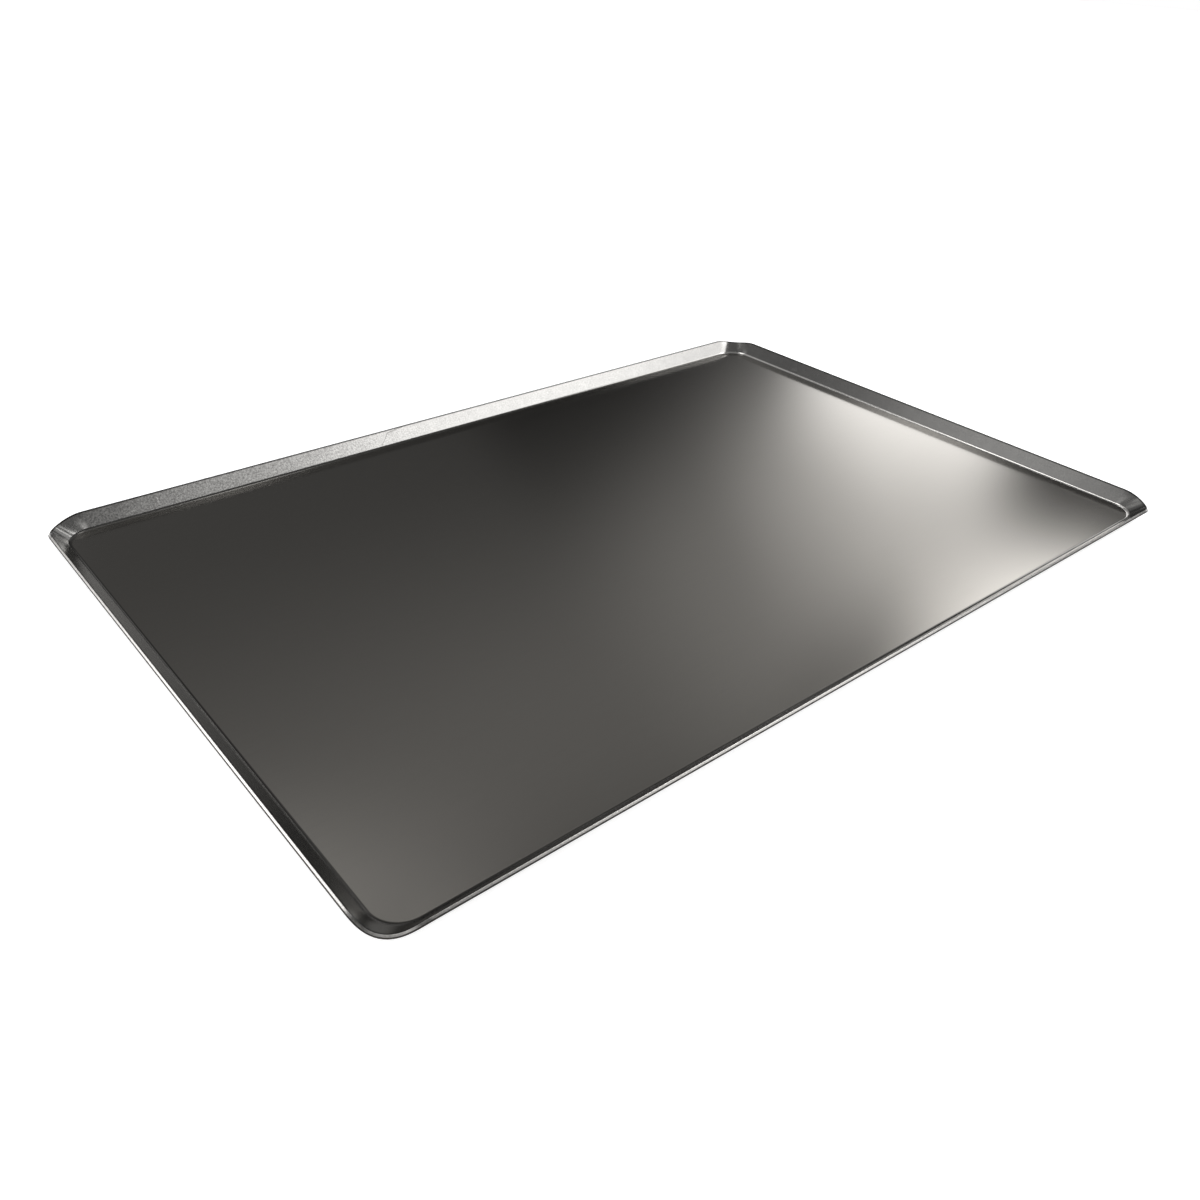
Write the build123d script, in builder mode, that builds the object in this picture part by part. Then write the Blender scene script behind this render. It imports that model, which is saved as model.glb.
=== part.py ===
from build123d import *
from math import cos, pi, radians, sin, tan
import os

# A flat oven baking sheet, pressed from one piece of steel sheet.
# The floor is flat. A narrow rim leans outwards on all four sides and runs
# round the drawn corners, where it leans out further and so stands lower.
# The rim ends in the plain cut edge of the sheet.
# The origin is at the middle of the underside, X runs along the length and Z is up.

# Overall size, over the cut edges of the rims
overall_length = 600.0
overall_width = 400.0

# The steel and its bend between floor and rim
sheet_thickness = 2.0
bend_radius = 3.0

# The rim: how steep it stands along the sides and halfway round a corner,
# and how far it reaches up from the line where the floor would meet it unbent
side_angle = 47.5
corner_angle = 32.5
rim_length = 12.2

# The corner of that meeting line, seen from above
corner_radius = 16.0

# Cuts through the rim that shape one corner, evenly spaced
corner_steps = 8

# How far the bend starts before the meeting line
bend_reach = bend_radius * tan(radians(side_angle / 2))

# The flat of the floor, up to where the bend starts
rim_width = (
    bend_reach
    + rim_length * cos(radians(side_angle))
    + sheet_thickness * sin(radians(side_angle))
)
floor_length = overall_length - 2 * rim_width
floor_width = overall_width - 2 * rim_width
floor_corner = corner_radius - bend_reach

# The upright axis that one corner turns about
turn_x = floor_length / 2 - floor_corner
turn_y = floor_width / 2 - floor_corner

# The strip of floor that is drawn with the rim, so that the two join
floor_strip = floor_corner / 2


def rim_profile(place, angle):
    """Draw a cut through the rim: a strip of floor, a bend, then a straight slope.

    The plane's x points outwards from the start of the bend and its y points up.
    The bend starts at the same place at any angle, so a lower slope has a wider bend.
    """
    inside_radius = bend_reach / tan(radians(angle / 2))
    bend_centre = (0, sheet_thickness + inside_radius)
    slope_length = rim_length - bend_reach
    with BuildSketch(place) as profile:
        with BuildLine():
            inside_bend = CenterArc(bend_centre, inside_radius, -90, angle)
            outside_bend = CenterArc(bend_centre, inside_radius + sheet_thickness, -90, angle)
            inside_slope = PolarLine(inside_bend @ 1, slope_length, angle)
            outside_slope = PolarLine(outside_bend @ 1, slope_length, angle)
            Line(inside_slope @ 1, outside_slope @ 1)
            Polyline(
                inside_bend @ 0,
                (-floor_strip, sheet_thickness),
                (-floor_strip, 0),
                outside_bend @ 0,
            )
        make_face()
    return profile.sketch


def rim_place(turn):
    """Return the plane that cuts the rim of the corner at an angle of turn from the X axis."""
    outwards = Vector(cos(turn), sin(turn), 0)
    start = Vector(turn_x, turn_y, 0) + outwards * floor_corner
    return Plane(origin=start, x_dir=outwards, z_dir=outwards.cross(Vector(0, 0, 1)))


with BuildPart() as pressed_sheet:
    # Half of one short rim and half of one long rim, from the corner to the middle of each side
    extrude(rim_profile(rim_place(0), side_angle), amount=turn_y)
    extrude(rim_profile(rim_place(pi / 2), side_angle), amount=-turn_x)

    # One corner, which eases from the slope of the sides to its own and back
    cuts = []
    for step in range(corner_steps + 1):
        turn = pi / 2 * step / corner_steps
        ease = sin(2 * turn) ** 2
        angle = side_angle + (corner_angle - side_angle) * ease
        cuts.append(rim_profile(rim_place(turn), angle))
    loft(cuts)

    # The other three quarters of the rim
    mirror(about=Plane.XZ)
    mirror(about=Plane.YZ)

    # The floor that the rim is bent up from
    with BuildSketch(Plane.XY):
        RectangleRounded(floor_length, floor_width, floor_corner)
    extrude(amount=sheet_thickness)

pressed_sheet.part.label = "pressed_sheet"

os.makedirs("parts", exist_ok=True)
export_step(pressed_sheet.part, "parts/pressed_sheet.step")
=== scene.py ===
from math import radians

import bpy
import numpy as np
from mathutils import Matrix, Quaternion, Vector


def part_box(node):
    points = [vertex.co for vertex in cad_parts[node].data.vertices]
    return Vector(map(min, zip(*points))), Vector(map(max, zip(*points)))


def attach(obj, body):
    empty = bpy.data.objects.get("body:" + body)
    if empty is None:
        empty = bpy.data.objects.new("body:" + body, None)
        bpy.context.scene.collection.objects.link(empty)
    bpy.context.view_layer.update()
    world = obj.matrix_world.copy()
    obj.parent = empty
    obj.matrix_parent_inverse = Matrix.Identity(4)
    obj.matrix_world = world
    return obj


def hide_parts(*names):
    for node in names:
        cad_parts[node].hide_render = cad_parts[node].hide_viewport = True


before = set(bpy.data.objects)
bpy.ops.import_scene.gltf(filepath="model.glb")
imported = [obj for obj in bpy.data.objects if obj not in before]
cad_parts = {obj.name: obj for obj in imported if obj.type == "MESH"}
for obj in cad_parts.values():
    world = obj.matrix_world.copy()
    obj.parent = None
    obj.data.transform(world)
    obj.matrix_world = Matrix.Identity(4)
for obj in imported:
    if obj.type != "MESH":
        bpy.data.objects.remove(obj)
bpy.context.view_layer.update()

# The camera
# It looks down on the sheet from in front of its left end, a little turned about
# its own axis, through a moderately wide lens.
camera_place = Vector((-0.4116, -0.4425, 0.3327))
camera_aim = Vector((-0.0738, -0.0570, 0.0020))
camera_roll = radians(2.58)

camera_data = bpy.data.cameras.new("camera")
camera_data.lens = 32.12
camera_data.sensor_width = 36.0
camera = bpy.data.objects.new("camera", camera_data)
camera.location = camera_place
camera.rotation_mode = "QUATERNION"
look = (camera_aim - camera_place).to_track_quat("-Z", "Y")
camera.rotation_quaternion = look @ Quaternion((0, 0, 1), camera_roll)
bpy.context.collection.objects.link(camera)
bpy.context.scene.camera = camera

# The sheet's shape
# One piece of rolled steel sheet, pressed: a flat floor, a rim that leans outwards
# and runs on round the drawn corners, and the edge as the shears left it.
sheet_thickness = 0.0020
bend_radius = 0.0030
side_lean = radians(47.5)
corner_lean = radians(32.5)
rim_length = 0.0122
corner_radius = 0.0160
rolled_edge = 0.00030
burr_edge = 0.00012
floor_strip = 0.0003
guard_strip = 0.0002
bend_steps = 10
floor_rise = 0.00020

sheet_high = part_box("pressed_sheet")[1]
bend_reach = bend_radius * np.tan(side_lean / 2)
rim_width = bend_reach + rim_length * np.cos(side_lean) + sheet_thickness * np.sin(side_lean)
floor_half = np.array([sheet_high.x - rim_width, sheet_high.y - rim_width])
floor_corner = corner_radius - bend_reach


def side_stations(half_span, reach, steps, corner_steps=12):
    """Places along one side of the floor, drawn as the side that faces -Y.

    They run from halfway round one corner to halfway round the next: an eighth of a
    circle, a straight and another eighth. Each has its place, the direction outwards
    and how far it is round the corner, from 0 on the side to 1 in the corner's middle.
    """
    straight = half_span - floor_corner
    eighth = np.linspace(-np.pi / 4, 0, corner_steps + 1)
    turn = np.concatenate([eighth, np.zeros(steps - 1), -eighth[::-1]])
    slide = np.concatenate([
        np.full(corner_steps, -straight),
        np.linspace(-straight, straight, steps + 1),
        np.full(corner_steps, straight),
    ])
    outwards = np.stack([np.sin(turn), -np.cos(turn)], axis=1)
    middle = np.stack([slide, np.full_like(slide, floor_corner - reach)], axis=1)
    return middle + floor_corner * outwards, outwards, np.sin(2 * turn) ** 2


def rim_cut(lean):
    """The cut through the rim, one row of points for each lean, as distance out and height.

    In order: floor, inside bend (an arc), slope, rolled edge (a quarter circle), cut face,
    burred edge (a quarter circle), slope, outside bend (an arc), underside. The bend
    starts at the same place whatever the lean, so its radius grows as the lean drops.
    """
    inside = bend_reach / np.tan(lean / 2)
    run = rim_length - bend_reach
    out_dir = np.stack([np.cos(lean), np.sin(lean)], axis=-1)
    up_dir = np.stack([-np.sin(lean), np.cos(lean)], axis=-1)
    centre = np.stack([np.zeros_like(lean), sheet_thickness + inside], axis=-1)
    bend = [lean * share for share in np.linspace(0, 1, bend_steps + 1)]

    def arc(radius):
        return [centre + radius[:, None] * np.stack([np.sin(a), -np.cos(a)], axis=-1) for a in bend]

    def along(start, shares):
        return [start + share * out_dir for share in shares]

    def quarter(corner, radius, first):
        """A quarter circle that rounds the corner of the edge, from one face to the next."""
        middle = corner - radius * (out_dir + first * up_dir)
        angles = np.linspace(0, np.pi / 2, 5)
        return [middle + radius * (np.sin(a) * out_dir + np.cos(a) * first * up_dir) for a in angles]

    slope_places = np.array([
        guard_strip, run * 0.25, run * 0.5, run * 0.75, run - rolled_edge - guard_strip,
    ])
    top = arc(inside)
    under = arc(inside + sheet_thickness)
    lip_top = top[-1] + run * out_dir
    lip_under = under[-1] + run * out_dir
    cut_face = [lip_top + share * (lip_under - lip_top) for share in (0.3, 0.45, 0.6, 0.8)]
    flat = np.stack([np.full_like(lean, -floor_strip), np.zeros_like(lean)], axis=-1)
    lift = np.array([0, sheet_thickness])
    points = [
        flat + lift,
        *top,
        *along(top[-1], slope_places),
        *quarter(lip_top, rolled_edge, 1),
        *cut_face,
        *quarter(lip_under, burr_edge, -1)[::-1],
        *along(under[-1], slope_places[::-1]),
        *under[::-1],
        flat,
    ]
    return np.stack(points, axis=1)


def blended_grid(front, right, back, left):
    """Fill the space between four edge curves: each pair blended across, less the corners' blend."""
    u = np.linspace(0, 1, len(front))[:, None, None]
    v = np.linspace(0, 1, len(left))[None, :, None]
    across = (1 - v) * front[:, None] + v * back[:, None]
    along = (1 - u) * left[None] + u * right[None]
    corners = (
        (1 - u) * (1 - v) * front[0] + u * (1 - v) * front[-1]
        + (1 - u) * v * back[0] + u * v * back[-1]
    )
    return across + along - corners


def floor_crown(place):
    """The slight rise of a pressed floor: a product of cosines, nothing at the bends."""
    share = np.clip(np.abs(place[..., :2]) / floor_half, 0, 1)
    return floor_rise * np.prod(np.cos(share * np.pi / 2) ** 2, axis=-1)


long_steps, short_steps = 48, 32
long_side = side_stations(floor_half[0], floor_half[1], long_steps)
short_side = side_stations(floor_half[1], floor_half[0], short_steps)
quarter_turn = np.array([[0, 1], [-1, 0]])
places, outs, rounds = [], [], []
for number, (place, outwards, into_corner) in enumerate([long_side, short_side, long_side, short_side]):
    turned = np.linalg.matrix_power(quarter_turn, number)
    places.append((place @ turned)[:-1])
    outs.append((outwards @ turned)[:-1])
    rounds.append(into_corner[:-1])
places, outs, rounds = np.concatenate(places), np.concatenate(outs), np.concatenate(rounds)

cut = rim_cut(side_lean + (corner_lean - side_lean) * rounds)
ring = np.concatenate([places[:, None] + cut[..., :1] * outs[:, None], cut[..., 1:]], axis=-1)
stations, cut_points = ring.shape[:2]

# Lengths along the rim and across it, for the grain that follows them
along_rim = np.linalg.norm(np.diff(np.concatenate([places, places[:1]]), axis=0), axis=1)
along_rim = np.concatenate([[0], np.cumsum(along_rim)])
across_rim = np.linalg.norm(np.diff(cut[0], axis=0), axis=1)
across_rim = np.concatenate([[0], np.cumsum(across_rim)])

# How far each point of the cut is on the rim: 0 on the floor, 1 past the bend
up_the_bend = np.linspace(0, 1, bend_steps + 1)
rim_points = cut_points - 2 - 2 * len(up_the_bend)
on_rim = np.concatenate([[0], up_the_bend, np.ones(rim_points), up_the_bend[::-1], [0]])


def floor_grid(ring_number):
    """Fill one face of the floor inside that ring of the rim; returns its points and their numbers."""
    numbers = np.arange(stations + 1) % stations
    border = ring[numbers, ring_number]
    long_cells = stations // 2 - (len(short_side[0]) - 1)
    first, second, third = long_cells, stations // 2, stations // 2 + long_cells
    front, right = slice(0, first + 1), slice(first, second + 1)
    back, left = slice(second, third + 1), slice(third, stations + 1)
    grid = blended_grid(border[front], border[right], border[back][::-1], border[left][::-1])
    ids = np.full(grid.shape[:2], -1)
    ids[:, 0], ids[-1, :] = numbers[front], numbers[right]
    ids[:, -1], ids[0, :] = numbers[back][::-1], numbers[left][::-1]
    return grid, ids * cut_points + ring_number


count = stations * cut_points
ring_ids = np.arange(count).reshape(stations, cut_points)
next_ids = np.roll(ring_ids, -1, axis=0)
rim_faces = np.stack([ring_ids[:, :-1], ring_ids[:, 1:], next_ids[:, 1:], next_ids[:, :-1]], axis=-1)
u, v = np.meshgrid(along_rim, across_rim, indexing="ij")
rim_map = np.stack([u, v], axis=-1)
rim_map = np.stack([rim_map[:-1, :-1], rim_map[:-1, 1:], rim_map[1:, 1:], rim_map[1:, :-1]], axis=2)

# The cut face of the steel lies between the rolled edge and the burr
slope_points = 5
roll_points = 5
cut_face_points = 4
edge_start = len(up_the_bend) + slope_points + roll_points
edge_end = edge_start + cut_face_points + 1
cut_face_number = np.zeros(rim_faces.shape[:2], dtype=int)
cut_face_number[:, edge_start - 1:edge_end] = 1

vertices = [ring.reshape(-1, 3)]
faces = [rim_faces.reshape(-1, 4)]
face_map = [rim_map.reshape(-1, 4, 2)]
face_steel = [cut_face_number.reshape(-1)]
shares = [np.tile(on_rim, stations)]
for ring_number, upwards in ((0, True), (cut_points - 1, False)):
    grid, ids = floor_grid(ring_number)
    inner = grid[1:-1, 1:-1].reshape(-1, 3)
    ids[1:-1, 1:-1] = count + np.arange(len(inner)).reshape(grid.shape[0] - 2, grid.shape[1] - 2)
    inner[:, 2] += floor_crown(inner)
    quads = np.stack([ids[:-1, :-1], ids[1:, :-1], ids[1:, 1:], ids[:-1, 1:]], axis=-1).reshape(-1, 4)
    quads = quads if upwards else quads[:, ::-1]
    count += len(inner)
    vertices.append(inner)
    faces.append(quads)
    face_steel.append(np.zeros(len(quads), dtype=int))
    shares.append(np.zeros(len(inner)))
vertices, faces, face_steel = np.concatenate(vertices), np.concatenate(faces), np.concatenate(face_steel)
floor_map = vertices[faces[len(face_map[0]):], :2]
face_map = np.concatenate([face_map[0], floor_map])

mesh = bpy.data.meshes.new("steel_sheet")
mesh.from_pydata(vertices.tolist(), [], faces.tolist())
mesh.polygons.foreach_set("use_smooth", np.ones(len(faces), dtype=bool))
mesh.polygons.foreach_set("material_index", face_steel.astype(np.int32))
mesh.uv_layers.new(name="along_and_across").data.foreach_set("uv", face_map.ravel())
mesh.attributes.new("on_rim", "FLOAT", "POINT").data.foreach_set("value", np.concatenate(shares))
mesh.update()
sheet = bpy.data.objects.new("steel_sheet", mesh)
bpy.context.collection.objects.link(sheet)

# The sheet's finish
# Black steel: cold rolled sheet blued in the oven, a dim warm grey mirror, soft at the
# edges of what it reflects. The floor is smooth. The rims, where the steel was stretched
# over the tool, have a fine speckle and a few marks. Their lip and bends are painted darker
# as painted shade, and a painted highlight runs along the bend at the right-hand end.
floor_steel = "#928f8a"
rim_steel = "#908f8d"
floor_roughness = 0.11
rim_roughness = 0.17


def linear(code):
    """An sRGB hex colour as linear red, green, blue and alpha: the sRGB curve undone."""
    value = np.array([int(code[i:i + 2], 16) for i in (1, 3, 5)]) / 255
    curve = np.where(value <= 0.04045, value / 12.92, ((value + 0.055) / 1.055) ** 2.4)
    return (*curve.tolist(), 1.0)


def add_node(tree, kind, settings=None, inputs=None):
    """Add a node, set its properties, then set its inputs or link them to other nodes."""
    node = tree.nodes.new(kind)
    for name, value in (settings or {}).items():
        setattr(node, name, value)
    for name, value in (inputs or {}).items():
        socket = node.inputs[name]
        if isinstance(value, bpy.types.NodeSocket):
            tree.links.new(value, socket)
        else:
            socket.default_value = value
    return node


def new_material(name):
    """A material with an empty node tree."""
    material = bpy.data.materials.new(name)
    material.use_nodes = True
    material.node_tree.nodes.clear()
    return material, material.node_tree


# Speckle on the rims: grains of about 1.1 mm, drawn a little coarser than the real ones
# so that they show, and paler and darker clouds of about 9 mm
speckle_size = 0.0011
speckle_depth = 0.45
speckle_relief = 0.000003
cloud_size = 0.009
cloud_depth = 0.05
# Rolling lines on the floor: 0.7 mm apart and 30 mm long, much coarser than the real
# ones, which are far too fine to see
rolling_gap = 0.0007
rolling_length = 0.030
rolling_depth = 0.015

steel, tree = new_material("blued_black_steel_satin")
coords = add_node(tree, "ShaderNodeTexCoord").outputs["Object"]
on_rim = add_node(tree, "ShaderNodeAttribute", {"attribute_name": "on_rim"}).outputs["Fac"]

speckle = add_node(tree, "ShaderNodeTexNoise", inputs={
    "Vector": coords, "Scale": 1 / speckle_size, "Detail": 2.0, "Roughness": 0.6,
}).outputs["Fac"]
clouds = add_node(tree, "ShaderNodeTexNoise", inputs={
    "Vector": coords, "Scale": 1 / cloud_size, "Detail": 3.0, "Roughness": 0.6,
}).outputs["Fac"]
stretched = add_node(tree, "ShaderNodeMapping", inputs={
    "Vector": coords, "Scale": (1 / rolling_length, 1 / rolling_gap, 1 / rolling_gap),
}).outputs["Vector"]
rolling = add_node(tree, "ShaderNodeTexNoise", inputs={
    "Vector": stretched, "Scale": 1.0, "Detail": 2.0, "Roughness": 0.5,
}).outputs["Fac"]

floor_tone = add_node(tree, "ShaderNodeMapRange", inputs={
    "Value": rolling, "From Min": 0.3, "From Max": 0.7,
    "To Min": 1 - rolling_depth, "To Max": 1 + rolling_depth,
}).outputs["Result"]

# The speckle is strong along the long rims at the left-hand end, and faint at the end
# itself and in the other half. These are places along the sheet.
speckle_faint = 0.2
corner_ends = -0.287
strong_from = -0.272
strong_to = -0.20
faint_from = 0.02

place = add_node(tree, "ShaderNodeSeparateXYZ", inputs={"Vector": coords}).outputs["X"]
before_middle = add_node(tree, "ShaderNodeMapRange", {"interpolation_type": "SMOOTHSTEP"}, {
    "Value": place, "From Min": strong_to, "From Max": faint_from,
    "To Min": 1.0, "To Max": speckle_faint,
}).outputs["Result"]
past_corner = add_node(tree, "ShaderNodeMapRange", {"interpolation_type": "SMOOTHSTEP"}, {
    "Value": place, "From Min": corner_ends, "From Max": strong_from,
    "To Min": speckle_faint, "To Max": 1.0,
}).outputs["Result"]
strong = add_node(tree, "ShaderNodeMath", {"operation": "MULTIPLY"}, {
    0: before_middle, 1: past_corner,
}).outputs["Value"]
speckle_tone = add_node(tree, "ShaderNodeMapRange", inputs={
    "Value": speckle, "From Min": 0.3, "From Max": 0.7,
    "To Min": -speckle_depth, "To Max": speckle_depth,
}).outputs["Result"]
speckle_tone = add_node(tree, "ShaderNodeMath", {"operation": "MULTIPLY_ADD"}, {
    0: speckle_tone, 1: strong, 2: 1.0,
}).outputs["Value"]
cloud_tone = add_node(tree, "ShaderNodeMapRange", inputs={
    "Value": clouds, "From Min": 0.3, "From Max": 0.7,
    "To Min": 1 - cloud_depth, "To Max": 1 + cloud_depth,
}).outputs["Result"]
rim_tone = add_node(tree, "ShaderNodeMath", {"operation": "MULTIPLY"}, {
    0: speckle_tone, 1: cloud_tone,
}).outputs["Value"]


def rim_mark(begin, end, width, tone_under, tone):
    """A scratch, a smudge or the painted shade of a crease: the tone within that width of the line from
    begin to end, seen from above.

    The distance from a point to the line is that to the nearest point on it, found by
    projecting the point onto the line and keeping within its two ends.
    """
    begin, end = np.array([*begin, 0.0]), np.array([*end, 0.0])
    run = end - begin
    flat = add_node(tree, "ShaderNodeVectorMath", {"operation": "MULTIPLY"}, {0: coords, 1: (1, 1, 0)})
    offset = add_node(tree, "ShaderNodeVectorMath", {"operation": "SUBTRACT"}, {
        0: flat.outputs["Vector"], 1: begin.tolist(),
    })
    share = add_node(tree, "ShaderNodeVectorMath", {"operation": "DOT_PRODUCT"}, {
        0: offset.outputs["Vector"], 1: (run / (run @ run)).tolist(),
    })
    share = add_node(tree, "ShaderNodeClamp", inputs={"Value": share.outputs["Value"]})
    nearest = add_node(tree, "ShaderNodeVectorMath", {"operation": "SCALE"}, {
        0: run.tolist(), "Scale": share.outputs["Result"],
    })
    apart = add_node(tree, "ShaderNodeVectorMath", {"operation": "DISTANCE"}, {
        0: offset.outputs["Vector"], 1: nearest.outputs["Vector"],
    })
    mark = add_node(tree, "ShaderNodeMapRange", {"interpolation_type": "SMOOTHSTEP"}, {
        "Value": apart.outputs["Value"], "From Min": 0.3 * width, "From Max": 0.8 * width,
        "To Min": tone, "To Max": 1.0,
    })
    return add_node(tree, "ShaderNodeMath", {"operation": "MULTIPLY"}, {
        0: tone_under, 1: mark.outputs["Result"],
    }).outputs["Value"]


# Marks on the rims: a crease with its run along the lip, drawn darker as painted shade since
# the shape has no crease, pale scratches and a smudge, each with its two ends seen from above,
# its width and its tone
rim_marks_and_crease_shade = [
    # Painted shade: the crease, two darker lines along the lip
    ((-0.0719, 0.1905), (-0.0623, 0.1968), 0.0004, 0.72),
    ((-0.0623, 0.1968), (-0.0450, 0.1984), 0.0005, 0.60),
    ((-0.2299, 0.1958), (-0.2302, 0.1926), 0.0005, 1.60),
    ((-0.2522, 0.1922), (-0.2430, 0.1933), 0.0007, 1.22),
    ((0.2928, 0.1232), (0.2932, 0.1190), 0.0014, 1.22),
]
for begin, end, width, tone in rim_marks_and_crease_shade:
    rim_tone = rim_mark(begin, end, width, rim_tone, tone)

# The lip above the cut face and the bends are painted darker: painted shade for the dark
# reflections that run along them. At the right-hand end the inside of the bend is painted
# as a bright line in a pale bare-steel colour: a painted highlight.
lip_width = 0.0013
lip_fade = 0.0002
lip_painted_shade = 0.30
bend_painted_shade = 0.55
bend_fade = 0.1
painted_highlight_steel = "#cfcdca"
painted_highlight_from = 0.270
painted_highlight_to = 0.280

across = add_node(tree, "ShaderNodeUVMap", {"uv_map": "along_and_across"}).outputs["UV"]
across = add_node(tree, "ShaderNodeSeparateXYZ", inputs={"Vector": across}).outputs["Y"]
lip_from = across_rim[edge_start] - lip_width
# Painted shade: the strip along the lip above the cut face is made darker
lip_shade = add_node(tree, "ShaderNodeMapRange", {"interpolation_type": "SMOOTHSTEP"}, {
    "Value": across, "From Min": lip_from - lip_fade, "From Max": lip_from + lip_fade,
    "To Min": 1.0, "To Max": lip_painted_shade,
}).outputs["Result"]
past_lip = add_node(tree, "ShaderNodeMath", {"operation": "GREATER_THAN"}, {
    0: across, 1: across_rim[edge_end],
}).outputs["Value"]
lip_shade = add_node(tree, "ShaderNodeMath", {"operation": "MAXIMUM"}, {0: lip_shade, 1: past_lip})
rim_tone = add_node(tree, "ShaderNodeMath", {"operation": "MULTIPLY"}, {
    0: rim_tone, 1: lip_shade.outputs["Value"],
}).outputs["Value"]

from_ends = add_node(tree, "ShaderNodeMath", {"operation": "PINGPONG"}, {0: on_rim, 1: 0.5})
in_bend = add_node(tree, "ShaderNodeMapRange", {"interpolation_type": "SMOOTHSTEP"}, {
    "Value": from_ends.outputs["Value"], "From Min": 0.0, "From Max": bend_fade,
}).outputs["Result"]
# Painted highlight: a bright line along the inside of the bend at the right-hand end, short of the lip
at_end = add_node(tree, "ShaderNodeMapRange", {"interpolation_type": "SMOOTHSTEP"}, {
    "Value": place, "From Min": painted_highlight_from, "From Max": painted_highlight_to,
}).outputs["Result"]
inside = add_node(tree, "ShaderNodeMath", {"operation": "SUBTRACT"}, {0: at_end, 1: past_lip})
inside = add_node(tree, "ShaderNodeMath", {"operation": "MAXIMUM"}, {0: inside.outputs["Value"], 1: 0.0})
painted_highlight = add_node(tree, "ShaderNodeMath", {"operation": "MULTIPLY"}, {
    0: in_bend, 1: inside.outputs["Value"],
}).outputs["Value"]
# Painted shade: the bends are made darker, except where the painted highlight runs
bend_shade_share = add_node(tree, "ShaderNodeMath", {"operation": "SUBTRACT"}, {0: in_bend, 1: painted_highlight})
bend_shade_tone = add_node(tree, "ShaderNodeMapRange", inputs={
    "Value": bend_shade_share.outputs["Value"], "To Min": 1.0, "To Max": bend_painted_shade,
}).outputs["Result"]

tone = add_node(tree, "ShaderNodeMix", {"data_type": "FLOAT"}, {
    "Factor": on_rim, "A": floor_tone, "B": rim_tone,
}).outputs["Result"]
grey = add_node(tree, "ShaderNodeMix", {"data_type": "RGBA"}, {
    "Factor": on_rim, "A": linear(floor_steel), "B": linear(rim_steel),
}).outputs["Result"]
# The painted highlight: its pale colour mixed in along that bend
grey = add_node(tree, "ShaderNodeMix", {"data_type": "RGBA"}, {
    "Factor": painted_highlight, "A": grey, "B": linear(painted_highlight_steel),
}).outputs["Result"]
tone = add_node(tree, "ShaderNodeMath", {"operation": "MULTIPLY"}, {
    0: tone, 1: bend_shade_tone,
}).outputs["Value"]
colour = add_node(tree, "ShaderNodeVectorMath", {"operation": "SCALE"}, {
    0: grey, "Scale": tone,
}).outputs["Vector"]
roughness = add_node(tree, "ShaderNodeMapRange", inputs={
    "Value": on_rim, "To Min": floor_roughness, "To Max": rim_roughness,
}).outputs["Result"]
relief = add_node(tree, "ShaderNodeMath", {"operation": "MULTIPLY"}, {0: strong, 1: on_rim})
relief = add_node(tree, "ShaderNodeMath", {"operation": "MULTIPLY"}, {
    0: speckle, 1: relief.outputs["Value"],
})
bump = add_node(tree, "ShaderNodeBump", inputs={
    "Height": relief.outputs["Value"], "Strength": 1.0, "Distance": speckle_relief,
}).outputs["Normal"]
shader = add_node(tree, "ShaderNodeBsdfPrincipled", inputs={
    "Base Color": colour, "Metallic": 1.0, "Roughness": roughness, "Normal": bump,
})
add_node(tree, "ShaderNodeOutputMaterial", inputs={"Surface": shader.outputs["BSDF"]})
mesh.materials.append(steel)

# The cut edge
# Bare steel where the shears went through, with fine upright lines left by the blade.
# The upper part was rubbed bright by the blade. Below that the steel broke and is rough, and is
# painted dark: partly the duller broken steel, partly painted shade for the dark line at the foot of the
# edge.
cut_steel = "#b4b2af"
broken_steel_and_shade = "#4a4846"
bright_share = 0.60
bright_roughness = 0.30
broken_roughness = 0.50
line_gap = 0.0006
line_length = 0.004
line_relief = 0.00004
break_wander = 0.0004

bare_steel, tree = new_material("sheared_steel_edge")
uv = add_node(tree, "ShaderNodeUVMap", {"uv_map": "along_and_across"}).outputs["UV"]
lines = add_node(tree, "ShaderNodeMapping", inputs={
    "Vector": uv, "Scale": (1 / line_gap, 1 / line_length, 1.0),
}).outputs["Vector"]
lines = add_node(tree, "ShaderNodeTexNoise", inputs={
    "Vector": lines, "Scale": 1.0, "Detail": 2.0, "Roughness": 0.6,
}).outputs["Fac"]
tone = add_node(tree, "ShaderNodeMapRange", inputs={
    "Value": lines, "From Min": 0.3, "From Max": 0.7, "To Min": 0.80, "To Max": 1.20,
}).outputs["Result"]
edge_top, edge_foot = across_rim[edge_start], across_rim[edge_end]
break_line = edge_top + bright_share * (edge_foot - edge_top)
across = add_node(tree, "ShaderNodeSeparateXYZ", inputs={"Vector": uv}).outputs["Y"]
wander = add_node(tree, "ShaderNodeMath", {"operation": "MULTIPLY_ADD"}, {
    0: lines, 1: break_wander, 2: across,
})
broken_and_shaded = add_node(tree, "ShaderNodeMapRange", {"interpolation_type": "SMOOTHSTEP"}, {
    "Value": wander.outputs["Value"],
    "From Min": break_line + 0.25 * break_wander, "From Max": break_line + 0.75 * break_wander,
}).outputs["Result"]
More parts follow.
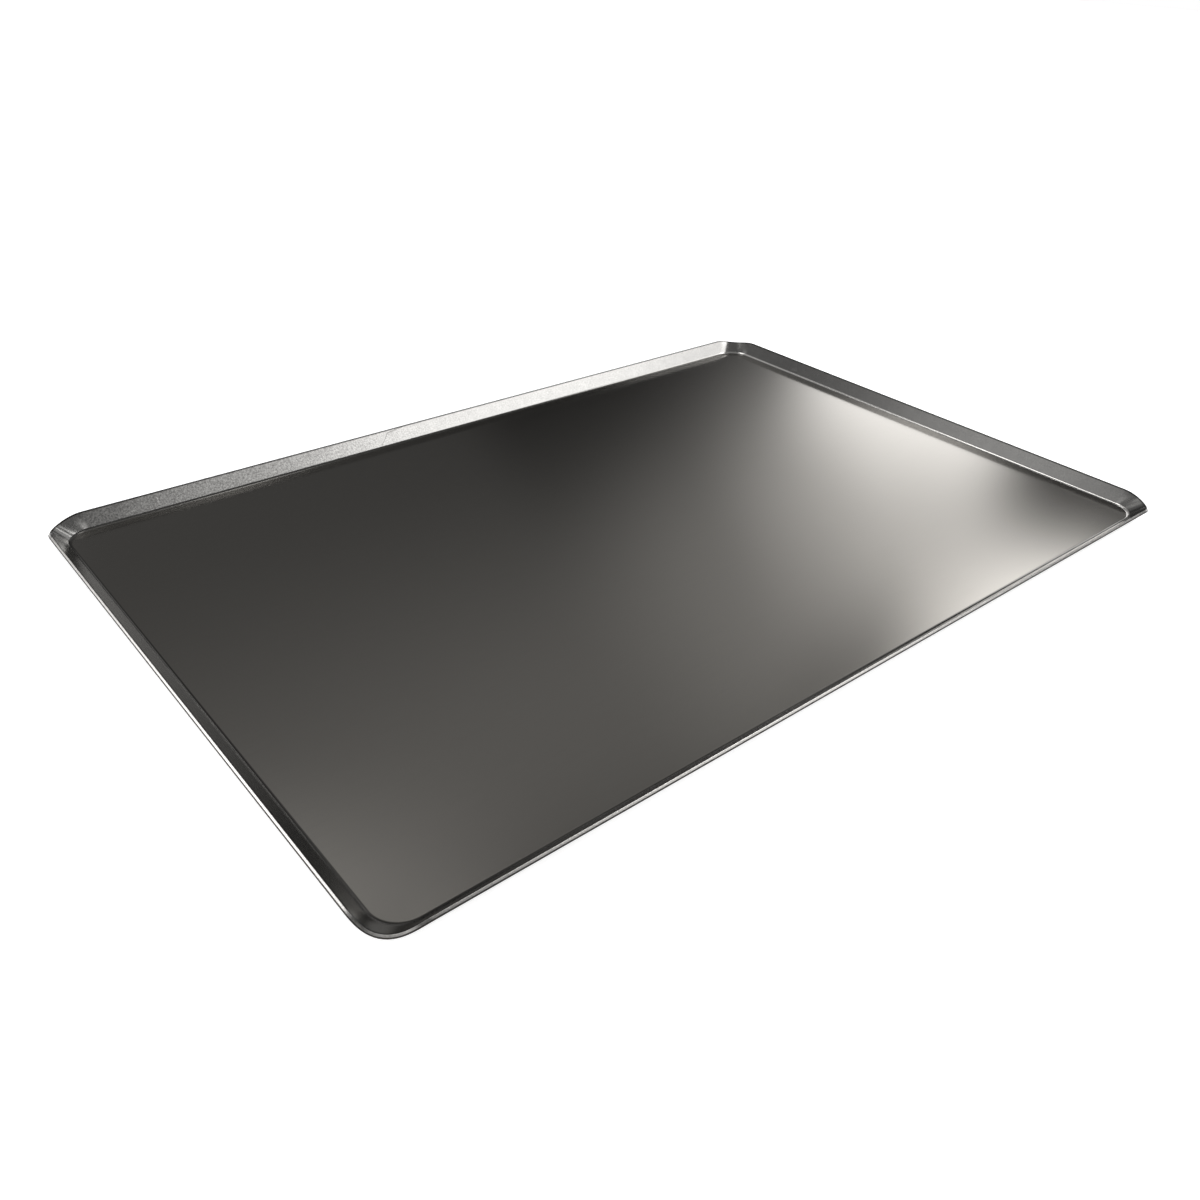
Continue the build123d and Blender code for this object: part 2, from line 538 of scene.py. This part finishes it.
# Painted shade: the broken part's dark colour also stands for the dark line at the foot of the edge
colour = add_node(tree, "ShaderNodeMix", {"data_type": "RGBA"}, {
    "Factor": broken_and_shaded, "A": linear(cut_steel), "B": linear(broken_steel_and_shade),
}).outputs["Result"]
colour = add_node(tree, "ShaderNodeVectorMath", {"operation": "SCALE"}, {
    0: colour, "Scale": tone,
}).outputs["Vector"]
roughness = add_node(tree, "ShaderNodeMapRange", inputs={
    "Value": broken_and_shaded, "To Min": bright_roughness, "To Max": broken_roughness,
}).outputs["Result"]
bump = add_node(tree, "ShaderNodeBump", inputs={
    "Height": lines, "Strength": 1.0, "Distance": line_relief,
}).outputs["Normal"]
shader = add_node(tree, "ShaderNodeBsdfPrincipled", inputs={
    "Base Color": colour, "Metallic": 1.0, "Roughness": roughness, "Normal": bump,
})
add_node(tree, "ShaderNodeOutputMaterial", inputs={"Surface": shader.outputs["BSDF"]})
mesh.materials.append(bare_steel)

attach(sheet, "root")
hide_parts("pressed_sheet")

# The studio floor
# White paper. It looks white to the camera and in the steel, but still takes the
# sheet's shadow. From beneath it is clear, so that the underside can be looked at.
paper_white = "#e8e8e8"
paper_glow = 0.75
floor_size = 12.0
floor_gap = 0.0004

corners = np.array([[-1, -1, 0], [1, -1, 0], [1, 1, 0], [-1, 1, 0]]) * floor_size / 2
ground_mesh = bpy.data.meshes.new("studio_floor")
ground_mesh.from_pydata((corners - [0, 0, floor_gap]).tolist(), [], [(0, 1, 2, 3)])
ground = bpy.data.objects.new("studio_floor", ground_mesh)
bpy.context.collection.objects.link(ground)

paper, tree = new_material("white_studio_paper")
path = add_node(tree, "ShaderNodeLightPath").outputs
seen = add_node(tree, "ShaderNodeMath", {"operation": "MAXIMUM"}, {
    0: path["Is Camera Ray"], 1: path["Is Glossy Ray"],
})
seen = add_node(tree, "ShaderNodeMath", {"operation": "MAXIMUM"}, {
    0: seen.outputs["Value"], 1: path["Is Transmission Ray"],
})
glow = add_node(tree, "ShaderNodeMath", {"operation": "MULTIPLY"}, {
    0: seen.outputs["Value"], 1: paper_glow,
})
glow = add_node(tree, "ShaderNodeEmission", inputs={"Strength": glow.outputs["Value"]})
matt = add_node(tree, "ShaderNodeBsdfDiffuse", inputs={"Color": linear(paper_white)})
white = add_node(tree, "ShaderNodeAddShader", inputs={0: glow.outputs[0], 1: matt.outputs[0]})
clear = add_node(tree, "ShaderNodeBsdfTransparent")
beneath = add_node(tree, "ShaderNodeNewGeometry").outputs["Backfacing"]
sides = add_node(tree, "ShaderNodeMixShader", inputs={
    0: beneath, 1: white.outputs[0], 2: clear.outputs[0],
})
add_node(tree, "ShaderNodeOutputMaterial", inputs={"Surface": sides.outputs[0]})
ground_mesh.materials.append(paper)

# The studio around the sheet
# A dim room with a strip of white paper round its foot and soft panels of light, so
# that the dark steel shows bright and dark bands. The camera itself sees plain white.
# Each panel: direction from +X towards +Y, half its width and the softness of its
# sides, then its height above the floor, half its height and the softness of its top
# and bottom, then its tilt, all in degrees, and its brightness. A black card has a
# brightness below 0, which is the share that it takes from the light behind it, so the
# cards come last. The fills keep the steel from going black when seen from other sides.
room_light = 0.012
upper_light = 0.22
upper_from = (48.0, 60.0)
paper_top = (0.5, 3.0)
panels = {
    "window": (31.0, 5.7, 2.5, 16.4, 4.2, 6.5, -17.2, 4.3),
    "window side": (21.9, 3.0, 7.0, 33.3, 6.0, 5.0, 0.0, 5.9),
    "window glow": (31.9, 4.5, 5.6, 26.0, 7.1, 5.8, 36.7, 1.24),
    "upper glow": (37.1, 8.4, 7.3, 28.0, 7.6, 5.2, 48.4, 0.25),
    "ceiling": (61.5, 28.4, 3.2, 43.4, 10.7, 9.9, 18.3, 0.29),
    "ceiling front": (76.0, 6.4, 21.8, 47.6, 1.5, 6.8, -0.8, 1.0),
    "back wall": (73.2, 14.6, 2.2, 23.4, 9.1, 10.9, 32.5, 0.13),
    "left wall": (54.0, 11.0, 5.0, 11.8, 4.0, 2.0, 0.0, 0.5),
    "corner light": (30.0, 2.0, 1.5, 40.0, 2.5, 1.5, 0.0, 4.0),
    "key": (-19.5, 33.5, 5.0, 42.5, 10.0, 1.5, 0.0, 3.4),
    "key right": (-4.0, 18.0, 6.0, 46.0, 6.0, 1.5, 0.0, 3.0),
    "key left": (-58.0, 8.0, 7.0, 54.0, 5.0, 3.0, 0.0, 1.2),
    "key low": (-38.0, 6.5, 3.9, 25.4, 4.2, 3.0, 0.0, 3.3),
    "left high": (139.6, 9.3, 2.5, 50.9, 5.9, 4.6, -11.0, 0.95),
    "left back": (107.0, 25.0, 5.3, 51.9, 7.8, 8.0, -8.5, 0.26),
    "left": (131.9, 10.4, 6.7, 19.7, 9.5, 5.0, 0.0, 4.0),
    "left foot": (130.8, 9.8, 4.9, 3.9, 6.3, 4.0, 0.0, 5.9),
    "left low": (111.5, 10.4, 5.0, 32.0, 6.1, 3.9, 0.0, 2.3),
    "left back low": (88.5, 6.0, 4.0, 24.9, 4.9, 4.8, 0.0, 0.8),
    "back strip": (57.2, 4.6, 1.5, 55.2, 3.6, 1.0, 0.0, 3.2),
    "back high": (88.0, 18.0, 4.0, 66.5, 5.0, 2.0, 0.0, 3.0),
    "behind camera": (-135.0, 30.0, 14.0, 40.0, 16.0, 12.0, 0.0, 1.3),
    "side fill": (-8.0, 12.0, 6.0, 14.0, 9.0, 6.0, 0.0, 0.22),
    "rear fill": (-105.0, 65.0, 8.0, 14.0, 9.0, 6.0, 0.0, 0.25),
    "left fill": (163.0, 10.0, 6.0, 14.0, 9.0, 6.0, 0.0, 0.20),
    "edge card": (-50.0, 9.0, 4.0, 33.0, 4.0, 3.0, 0.0, -0.5),
    "key card": (-29.0, 5.0, 3.0, 37.0, 3.0, 2.5, 0.0, -0.32),
    "black card": (20.0, 5.5, 2.5, 22.6, 3.2, 2.0, 0.0, -0.92),
}

world = bpy.data.worlds.new("studio")
bpy.context.scene.world = world
world.use_nodes = True
tree = world.node_tree
tree.nodes.clear()
way = add_node(tree, "ShaderNodeTexCoord").outputs["Generated"]
way = add_node(tree, "ShaderNodeSeparateXYZ", inputs={"Vector": way}).outputs
turn = add_node(tree, "ShaderNodeMath", {"operation": "ARCTAN2"}, {0: way["Y"], 1: way["X"]})
turn = add_node(tree, "ShaderNodeMath", {"operation": "DEGREES"}, {0: turn.outputs["Value"]})
turn = turn.outputs["Value"]
rise = add_node(tree, "ShaderNodeMath", {"operation": "ARCSINE"}, {0: way["Z"]})
rise = add_node(tree, "ShaderNodeMath", {"operation": "DEGREES"}, {0: rise.outputs["Value"]})
rise = rise.outputs["Value"]
turn_and_rise = add_node(tree, "ShaderNodeCombineXYZ", inputs={"X": turn, "Y": rise}).outputs["Vector"]


def smooth_step(value, begin, end, first, last):
    """A value that goes smoothly from first to last as the input goes from begin to end."""
    return add_node(tree, "ShaderNodeMapRange", {"interpolation_type": "SMOOTHSTEP"}, {
        "Value": value, "From Min": begin, "From Max": end, "To Min": first, "To Max": last,
    }).outputs["Result"]


def band(value, half, soft, inside):
    """The inside value where the input is within half of 0, none beyond, with a smooth step between."""
    size = add_node(tree, "ShaderNodeMath", {"operation": "ABSOLUTE"}, {0: value}).outputs["Value"]
    return smooth_step(size, half - soft, half + soft, inside, 0.0)


light = smooth_step(rise, *paper_top, 1.0, room_light)
upper = smooth_step(rise, *upper_from, 0.0, upper_light)
light = add_node(tree, "ShaderNodeMath", {"operation": "ADD"}, {0: light, 1: upper}).outputs["Value"]


def add_panel(light, where, half_width, side_edge, height, half_height, top_edge, tilt, strength):
    """The light with one more panel added, or dimmed by a black card if the strength is below 0."""
    own = add_node(tree, "ShaderNodeMapping", {"vector_type": "TEXTURE"}, {
        "Vector": turn_and_rise, "Location": (where, height, 0), "Rotation": (0, 0, radians(tilt)),
    }).outputs["Vector"]
    own = add_node(tree, "ShaderNodeSeparateXYZ", inputs={"Vector": own}).outputs
    wide = band(own["X"], half_width, side_edge, 1.0)
    tall = band(own["Y"], half_height, top_edge, strength)
    if strength < 0:
        wide = add_node(tree, "ShaderNodeMath", {"operation": "MULTIPLY"}, {
            0: wide, 1: light,
        }).outputs["Value"]
    return add_node(tree, "ShaderNodeMath", {"operation": "MULTIPLY_ADD"}, {
        0: wide, 1: tall, 2: light,
    }).outputs["Value"]


for panel in panels.values():
    light = add_panel(light, *panel)

to_camera = add_node(tree, "ShaderNodeLightPath").outputs["Is Camera Ray"]
shown = add_node(tree, "ShaderNodeMix", {"data_type": "FLOAT"}, {
    "Factor": to_camera, "A": light, "B": 1.0,
}).outputs["Result"]
air = add_node(tree, "ShaderNodeBackground", inputs={"Color": (1, 1, 1, 1), "Strength": shown})
add_node(tree, "ShaderNodeOutputWorld", inputs={"Surface": air.outputs["Background"]})

bpy.context.scene.view_settings.view_transform = "Standard"
